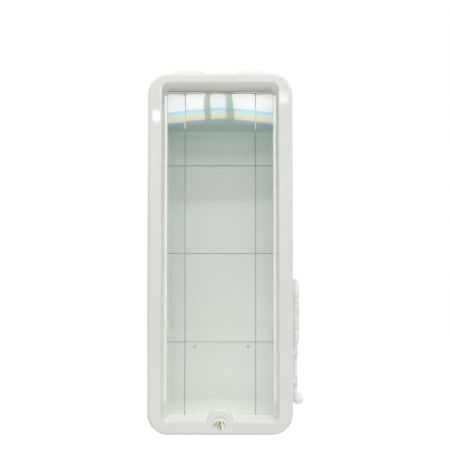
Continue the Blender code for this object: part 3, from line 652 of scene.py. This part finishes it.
def bar(name, radius, near_y, far_y, x, z, sides=64):
    """A round bar along Y."""
    bm = bmesh.new()
    turn = Matrix.Translation((x, (near_y + far_y) / 2, z)) @ Matrix.Rotation(math.radians(90), 4, "X")
    long = abs(far_y - near_y)
    bmesh.ops.create_cone(
        bm, cap_ends=True, segments=sides, radius1=radius, radius2=radius, depth=long, matrix=turn
    )
    return piece(name, bm)


def block(name, low, high, look=None):
    """A box between two corners."""
    low, high = Vector(low), Vector(high)
    bm = bmesh.new()
    bmesh.ops.create_cube(bm, size=1.0)
    bmesh.ops.scale(bm, vec=high - low, verts=bm.verts)
    bmesh.ops.translate(bm, vec=(low + high) / 2, verts=bm.verts)
    return piece(name, bm, look)


def half_bar(name, radius, near_y, far_y, floor_z, steps=56):
    """A round bar about the boss's axis, cut flat at the bottom."""
    angle = math.asin((BOSS_Z - floor_z) / radius)
    bm = bmesh.new()
    rim = []
    for step in range(steps + 1):
        turn = -angle + (math.pi + 2 * angle) * step / steps
        rim.append(bm.verts.new((radius * math.cos(turn), near_y, BOSS_Z + radius * math.sin(turn))))
    face = bm.faces.new(rim)
    swept = bmesh.ops.extrude_face_region(bm, geom=[face])
    moved = [item for item in swept["geom"] if isinstance(item, bmesh.types.BMVert)]
    bmesh.ops.translate(bm, vec=(0, far_y - near_y, 0), verts=moved)
    return piece(name, bm)


def lathe(name, profile, axis, centre, look=None, steps=64, smooth=40):
    """A closed or axis-to-axis profile of (radius, along) turned about an axis through centre."""
    bm = bmesh.new()
    points = [bm.verts.new((radius, 0, along)) for radius, along in profile]
    pairs = list(zip(points, points[1:]))
    if profile[0][0] > 0 and profile[-1][0] > 0:
        pairs.append((points[-1], points[0]))
    edges = [bm.edges.new(pair) for pair in pairs]
    bmesh.ops.spin(
        bm, geom=points + edges, cent=(0, 0, 0), axis=(0, 0, 1), angle=math.tau, steps=steps, use_merge=True
    )
    bmesh.ops.remove_doubles(bm, verts=bm.verts, dist=0.000002)
    turn = Vector((0, 0, 1)).rotation_difference(Vector(axis)).to_matrix().to_4x4()
    bmesh.ops.transform(bm, matrix=Matrix.Translation(centre) @ turn, verts=bm.verts)
    return piece(name, bm, look, smooth)


def join(name, first, others):
    """Join pieces into the first as separate shells."""
    bm = bmesh.new()
    for made in [first] + others:
        bm.from_mesh(made.data)
    mesh = bpy.data.meshes.new(name)
    bm.to_mesh(mesh)
    bm.free()
    for look in first.data.materials:
        mesh.materials.append(look)
    first.data = mesh
    discard(others)
    shade(mesh, 40)
    first.name = name


def lock_cuts():
    """The dished recess and the barrel's hole, as cutting pieces."""
    return [
        lathe("dish", DISH, (0, 1, 0), (0, FRONT_Y, LOCK_Z)),
        bar("barrel hole", BARREL_HOLE_RADIUS, FRONT_Y - 0.01, SKIRT_REAR_Y, 0, LOCK_Z),
    ]


def wall_run(drop, full, size, turn):
    """How far in the frame's inner wall has run at that drop: a round of that size, then an easing curve."""
    turn = math.radians(turn)
    round_drop = size * (1 - math.cos(turn))
    if drop <= round_drop:
        return size * math.sin(math.acos(1 - drop / size))
    length = full - round_drop
    share = (drop - round_drop) / length
    slope = 1 / math.tan(turn)
    return size * math.sin(turn) + length * (slope * share + (WALL_END_SLOPE - slope) * share ** 2 / 2)


def frame_shell():
    """The frame's outer round, flat face, inner wall and lip, lofted and given their thickness."""
    bm = bmesh.new()
    loops = [even_loop(bm, 0, FRAME_CORNER, SKIRT_REAR_Y)]
    for step in range(ROUND_STEPS + 1):
        angle = math.radians(90) * step / ROUND_STEPS
        inset = SKIRT_DRAFT + OUTER_ROUND * (1 - math.cos(angle))
        y = FRONT_Y + OUTER_ROUND * (1 - math.sin(angle))
        loops.append(even_loop(bm, inset, FRAME_CORNER - inset, y))
    inset += FACE_HOLD
    loops.append(even_loop(bm, inset, FRAME_CORNER - inset, FRONT_Y))
    corner = FRAME_CORNER - FACE[0] - STEP_IN
    full = LIP_Y - FRONT_Y
    runs = [wall_run(full, full, *wall) for wall in WALLS]
    margins = [margin + STEP_IN - run - FACE_HOLD for margin, run in zip(FACE, runs)]
    loops.append(rounded_loop(bm, *margins, corner + runs[0] + FACE_HOLD, FRONT_Y))
    for share in WALL_SHARES:
        left = [run - wall_run(full * share, full, *wall) for run, wall in zip(runs, WALLS)]
        margins = [margin + STEP_IN - run for margin, run in zip(FACE, left)]
        loops.append(rounded_loop(bm, *margins, corner + left[0], FRONT_Y + full * share))
    for ease, drop in (LIP_EASE, (0, LIP_DROP)):
        margins = [margin + STEP_IN + LIP - ease for margin in FACE]
        loops.append(rounded_loop(bm, *margins, corner - LIP + ease, LIP_Y + drop))
    bridge(bm, loops)
    made = piece("bezel_moulding", bm, "white_cover")
    solidify(made, FRAME_WALL)
    return made


def seat_rib():
    """The rib behind the face that seats on the tub's rim."""
    bm = bmesh.new()
    bridge(bm, [even_loop(bm, RIB_INSET, FRAME_CORNER - RIB_INSET, y) for y in (RIB_REAR_Y, RIB_FRONT_Y)])
    made = piece("rib", bm)
    solidify(made, RIB_WALL)
    settle(made)
    return made


def clip_places():
    """Where the posts for the panel's clips stand."""
    side, top, bottom = FACE
    places = []
    for x in (-HALF_WIDTH + side - CLIP_INSET, HALF_WIDTH - side + CLIP_INSET):
        places += [(x, z) for z in CLIP_LEVELS]
    for z in (-HALF_HEIGHT + bottom - CLIP_INSET, HALF_HEIGHT - top + CLIP_INSET):
        places += [(x, z) for x in (-CLIP_ENDS_X, CLIP_ENDS_X)]
    return places


def bezel():
    """The cover's frame with its lock boss, seat rib and posts."""
    made = frame_shell()
    tools = lock_cuts()
    crease = block("crease", *CREASE)
    cut(made, tools + [crease])
    settle(made)
    boss = half_bar("boss", BOSS_RADIUS, BOSS_FRONT_Y, LIP_BACK_Y, BOSS_FLOOR_Z)
    bevel(boss, BOSS_ROUND, BOSS_ROUND_STEPS)
    hollow = half_bar("hollow", HOLLOW_RADIUS, HOLLOW_FRONT_Y, SKIRT_REAR_Y, HOLLOW_FLOOR_Z)
    cut(boss, [hollow] + tools)
    settle(boss)
    posts = [bar("post", POST_RADIUS, RIB_FRONT_Y, LIP_BACK_Y, x, z, POST_SIDES) for x, z in clip_places()]
    discard([crease, hollow] + tools)
    join("bezel_moulding", made, [boss, seat_rib()] + posts)
    made.visible_glossy = False
    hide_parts("cover_frame")
    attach(made, "cover")


def tub():
    """The drafted tub with its rim, coved back and screw holes."""
    bm = bmesh.new()
    rim_inset, rim_corner = TUB_RIM
    side_draft, top_draft = TUB_DRAFTS
    loops = [
        even_loop(bm, rim_inset, rim_corner, TUB_FRONT_Y, TUB_STEPS),
        even_loop(bm, TUB_INSET, TUB_CORNER, TUB_FRONT_Y, TUB_STEPS),
    ]
    for step in range(TUB_COVE_STEPS + 1):
        angle = math.radians(90) * step / TUB_COVE_STEPS
        extra = TUB_COVE * (1 - math.cos(angle))
        side = TUB_INSET + side_draft + extra
        top = TUB_INSET + top_draft + extra
        y = TUB_COVE * math.sin(angle) + TUB_COVE_Y
        loops.append(rounded_loop(bm, side, top, side, TUB_CORNER - extra, y, TUB_STEPS))
    bridge(bm, loops)
    bm.faces.new(loops[-1])
    made = piece("tub_moulding", bm, "white_tub")
    solidify(made, TUB_WALL)
    tools = [bar("hole", SCREW_HOLE_RADIUS, -0.01, 0.01, x, z, 40) for x, z in SCREW_PLACES]
    cut(made, tools)
    settle(made)
    discard(tools)
    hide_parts("tub")
    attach(made, "cabinet")


def plugs_with_painted_shade():
    """Plugs in the three wall-screw holes: a bright one at the top, and grey ones below whose colour stands in
    for the shade inside the empty holes.
    """
    kinds = (("bung_top", "bright_steel"), ("bung_left", "bung"), ("bung_right", "bung"))
    for (name, look), (x, z) in zip(kinds, SCREW_PLACES):
        made = lathe(name, BUNG, (0, 1, 0), (x, 0, z), look, 32)
        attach(made, "cabinet")


def groove(name, start, end):
    """A V-shaped cutter along a break line, in the panel's front."""
    start, end = Vector(start), Vector(end)
    across = (end - start).normalized().cross(Vector((0, 1, 0))) * (GROOVE_WIDTH / 2)
    out = Vector((0, -GROOVE_OUT, 0))
    deep = Vector((0, GROOVE_DEPTH, 0))
    bm = bmesh.new()
    corners = (across + out, deep, out - across)
    near, far = [[bm.verts.new(spot + corner) for corner in corners] for spot in (start, end)]
    for index in range(3):
        following = (index + 1) % 3
        bm.faces.new((near[index], near[following], far[following], far[index]))
    bm.faces.new(near)
    bm.faces.new(list(reversed(far)))
    return piece(name, bm)


def panel():
    """The clear sheet with its break lines, notched round the boss."""
    bm = bmesh.new()
    margins = [margin + STEP_IN + LIP - PANEL_TUCK for margin in FACE]
    loops = [rounded_loop(bm, *margins, PANEL_CORNER, y, PANEL_STEPS) for y in (PANEL_FRONT_Y, PANEL_BACK_Y)]
    bridge(bm, loops)
    bm.faces.new(loops[0])
    bm.faces.new(loops[1])
    made = piece("clear_panel_sheet", bm, "clear_sheet", 20)
    tools = [bar("notch", NOTCH_RADIUS, PANEL_FRONT_Y - 0.01, PANEL_BACK_Y + 0.01, 0, BOSS_Z)]
    wide, high = GROOVE_REACH
    for x in (-LINE_X, LINE_X):
        tools.append(groove("upright", (x, PANEL_FRONT_Y, -high), (x, PANEL_FRONT_Y, high)))
    for level in (-1, 0, 1):
        z = LINE_Z + level * LINE_PITCH
        tools.append(groove("level", (-wide, PANEL_FRONT_Y, z), (wide, PANEL_FRONT_Y, z)))
    cut(made, tools)
    settle(made, 20)
    discard(tools)
    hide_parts("clear_panel")
    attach(made, "cover")


def grip_outline():
    """The grip from its top down: a slight taper, with rounded rings that stand in grooves."""
    outline = [(0, 0), (0.0058, 0), (0.0070, -0.0005), (GRIP_RADIUS, -0.0016)]
    bottom, edge = RING_GROOVE
    for number in range(RINGS):
        z = RING_FIRST_Z - number * RING_PITCH
        radius = GRIP_RADIUS - GRIP_TAPER * z / GRIP_LENGTH
        outline += [(radius, z + edge), (radius - RING_SINK, z + bottom)]
        for step in range(RING_STEPS + 1):
            angle = math.radians(180) * step / RING_STEPS
            outline.append((radius + RING_SINK * math.sin(angle), z + RING_HALF * math.cos(angle)))
        outline += [(radius - RING_SINK, z - bottom), (radius, z - edge)]
    low = -GRIP_LENGTH
    return outline + [(0.0082, low + 0.0015), (0.0077, low + 0.0005), (0.0066, low), (0, low)]


def ball_outline():
    outline = [(0, BALL_RADIUS)]
    for step in range(1, BALL_STEPS):
        angle = math.pi * step / BALL_STEPS
        outline.append((BALL_RADIUS * math.sin(angle), BALL_RADIUS * math.cos(angle)))
    return outline + [(0, -BALL_RADIUS)]


def striker():
    """The striker's tip, ringed grip, shank and ball."""
    for name, outline, x, z, look, smooth in (
        ("tip", TIP, STRIKER_X, TIP_TOP_Z, "white_moulding", 40),
        ("grip", grip_outline(), STRIKER_X, GRIP_TOP_Z, "white_moulding", 50),
        ("shank", SHANK, STRIKER_X, GRIP_LOW_Z, "white_knob", 40),
        ("knob", ball_outline(), STRIKER_X + BALL_ASIDE, BALL_Z, "white_knob", 40),
    ):
        made = lathe("striker_" + name + "_turned", outline, (0, 0, 1), (x, STRIKER_Y, z), look, smooth=smooth)
        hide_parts("striker_" + name)
        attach(made, "striker")


def lock_barrel():
    profile = (
        (BORE_RADIUS, HEAD_FRONT_Y + 0.0001),
        (BORE_RADIUS + 0.0001, HEAD_FRONT_Y),
        (0.0107, HEAD_FRONT_Y),
        (0.0111, HEAD_FRONT_Y + 0.0002),
        (HEAD_RADIUS, HEAD_FRONT_Y + 0.0006),
        (HEAD_RADIUS, HEAD_BACK_Y),
        (BARREL_RADIUS, HEAD_BACK_Y),
        (BARREL_RADIUS, BARREL_END_Y),
        (BORE_RADIUS, BARREL_END_Y),
    )
    barrel = lathe("lock_barrel_turned", profile, (0, 1, 0), (0, 0, LOCK_Z), "lock_metal")
    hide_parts("lock_barrel")
    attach(barrel, "cover")


def lock_plug():
    """The plug with its keyway, which widens to a mouth at the front."""
    front, end = PLUG_FRONT_Y, PLUG_END_Y
    profile = ((0, front), (0.0054, front), (PLUG_RADIUS, front + 0.0002), (PLUG_RADIUS, end), (0, end))
    plug = lathe("lock_plug_turned", profile, (0, 1, 0), (0, 0, LOCK_Z), "lock_metal")
    wide, high, deep = SLOT
    slot = block("slot", (-wide, front - 0.001, LOCK_Z - high), (wide, front + deep, LOCK_Z + high))
    wide, low, high, deep = MOUTH
    mouth = block("mouth", (-wide, front - 0.001, LOCK_Z + low), (wide, front + deep, LOCK_Z + high))
    cut(plug, [slot, mouth])
    settle(plug)
    discard([slot, mouth])
    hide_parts("lock_plug")
    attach(plug, "lock")


def lock_shutter():
    """The dark shutter behind the keyway."""
    wide, high, near, far = SHUTTER
    low_corner = (-wide, PLUG_FRONT_Y + near, LOCK_Z - high)
    high_corner = (wide, PLUG_FRONT_Y + far, LOCK_Z + high)
    shutter = block("lock_shutter", low_corner, high_corner, "shutter")
    bevel(shutter, 0.0002, 2)
    settle(shutter)
    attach(shutter, "lock")


def add_camera():
    lens = bpy.data.cameras.new("camera")
    lens.lens = CAMERA_LENS
    lens.sensor_width = CAMERA_SENSOR
    lens.shift_x, lens.shift_y = CAMERA_SHIFT
    lens.clip_start = CAMERA_NEAR
    camera = bpy.data.objects.new("camera", lens)
    SCENE.collection.objects.link(camera)
    camera.location = CAMERA_PLACE
    turn = Matrix.Rotation(CAMERA_YAW, 3, "Z") @ Matrix.Rotation(math.radians(90) + CAMERA_PITCH, 3, "X")
    turn = turn @ Matrix.Rotation(CAMERA_ROLL, 3, "Z")
    camera.rotation_euler = turn.to_euler()
    SCENE.camera = camera
    SCENE.view_settings.view_transform = "Standard"


def add_world():
    """White where it is seen, reflected or seen through glass, and softer as light."""
    world = bpy.data.worlds.new("studio")
    SCENE.world = world
    world.use_nodes = True
    tree = world.node_tree
    path = tree.nodes.new("ShaderNodeLightPath")
    seen = path.outputs["Is Camera Ray"]
    for kind in ("Is Glossy Ray", "Is Transmission Ray"):
        either = tree.nodes.new("ShaderNodeMath")
        either.operation = "MAXIMUM"
        tree.links.new(seen, either.inputs[0])
        tree.links.new(path.outputs[kind], either.inputs[1])
        seen = either.outputs[0]
    strength = tree.nodes.new("ShaderNodeMapRange")
    tree.links.new(seen, strength.inputs["Value"])
    strength.inputs["To Min"].default_value = WORLD_LIGHT
    strength.inputs["To Max"].default_value = 1.0
    background = tree.nodes["Background"]
    background.inputs["Color"].default_value = WHITE
    tree.links.new(strength.outputs["Result"], background.inputs["Strength"])


def add_lamps():
    """Soft strips in front and above, and a fill from behind, that no ray sees as such."""
    for name, place, aim, (width, height), power in LAMPS:
        light = bpy.data.lights.new(name, "AREA")
        light.shape = "RECTANGLE"
        light.size = width
        light.size_y = height
        light.energy = power
        made = bpy.data.objects.new(name, light)
        made.location = place
        made.rotation_euler = (Vector(aim) - Vector(place)).to_track_quat("-Z", "Y").to_euler()
        SCENE.collection.objects.link(made)
        made.visible_camera = False
        made.visible_glossy = False
        made.visible_transmission = False


def card_light(look):
    """The studio light's colour and strength: three pale lobes, a coloured lower edge, two broken patches."""
    x, _, z = look.axes()
    left, roundness, slope = CARD_BOW
    aside = look.math("POWER", look.math("ADD", x, left), 2.0)
    bow = look.product(look.math("SQRT", look.math("ADD", aside, roundness)), slope)
    colour = look.ramp(look.spread(look.math("ADD", z, bow), 0.0, 1.0, *CARD_BAND), CARD_COLOURS)
    wavy = look.math("ADD", x, look.spread(look.noise(9.0, 2.0), -0.010, 0.010, 0.3, 0.7))
    gaps = look.math("MAXIMUM", *[look.hump(wavy, *gap) for gap in CARD_GAPS])
    lobes = look.math("SUBTRACT", 1.0, look.product(gaps, CARD_GAP_DEPTH))
    streaks = look.noise(7.0, 3.0, 0.6, (1.0, 1.0, 0.25))
    lobes = look.product(lobes, look.spread(streaks, 0.86, 1.06, 0.35, 0.65))
    main = look.product(look.hump(x, *CARD_MAIN), look.math("LESS_THAN", z, CARD_TOP_Z))
    left_patch = look.product(look.hump(x, *CARD_LEFT[0]), look.hump(z, *CARD_LEFT[1]))
    right_patch = look.product(look.hump(x, *CARD_RIGHT[0]), look.hump(z, *CARD_RIGHT[1]), CARD_RIGHT_SHARE)
    broken = look.spread(look.noise(52.0, 3.0, 0.6), 0.0, 1.0, 0.47, 0.53)
    broken = look.product(broken, CARD_PATCH_POWER)
    patches = look.product(look.math("MAXIMUM", left_patch, right_patch), broken)
    lift, lift_start, lift_end = CARD_LIFT
    lit = look.product(look.math("MAXIMUM", main, patches), look.spread(z, 1.0, lift, lift_start, lift_end))
    return colour, look.product(lobes, lit, CARD_POWER)


def add_card():
    """The card that carries the studio light, there for mirror reflections alone."""
    look = Nodes("glare")
    colour, level = card_light(look)
    glow = look.add("ShaderNodeEmission")
    look.feed(glow.inputs["Color"], colour)
    look.feed(glow.inputs["Strength"], level)
    clear = look.shader("Transparent")
    bm = bmesh.new()
    bm.faces.new([bm.verts.new((x, CARD_Y, z)) for x, z in CARD_CORNERS])
    made = piece("glare card", bm)
    made.data.materials.append(look.finish(look.mix_shader(look.ray("Glossy"), clear, glow.outputs[0])))


def add_floor():
    """A plain pale floor, white where it is seen, which keeps the object's shadow."""
    bm = bmesh.new()
    bmesh.ops.create_grid(bm, x_segments=1, y_segments=1, size=FLOOR_REACH)
    mesh = bpy.data.meshes.new("floor")
    bm.to_mesh(mesh)
    bm.free()
    made = bpy.data.objects.new("floor", mesh)
    made.location = (0, 0, FLOOR_Z)
    SCENE.collection.objects.link(made)
    look = Nodes("floor")
    glow = look.product(look.ray("Camera", "Glossy", "Transmission"), FLOOR_GLOW)
    shader = look.shader(
        "Principled", Base_Color=FLOOR_COLOUR, Roughness=0.9, Emission_Color=WHITE, Emission_Strength=glow
    )
    made.data.materials.append(look.finish(shader))


dress_solids()
bezel()
tub()
plugs_with_painted_shade()
panel()
striker()
lock_barrel()
lock_plug()
lock_shutter()

add_camera()
add_world()
add_lamps()
add_card()
add_floor()
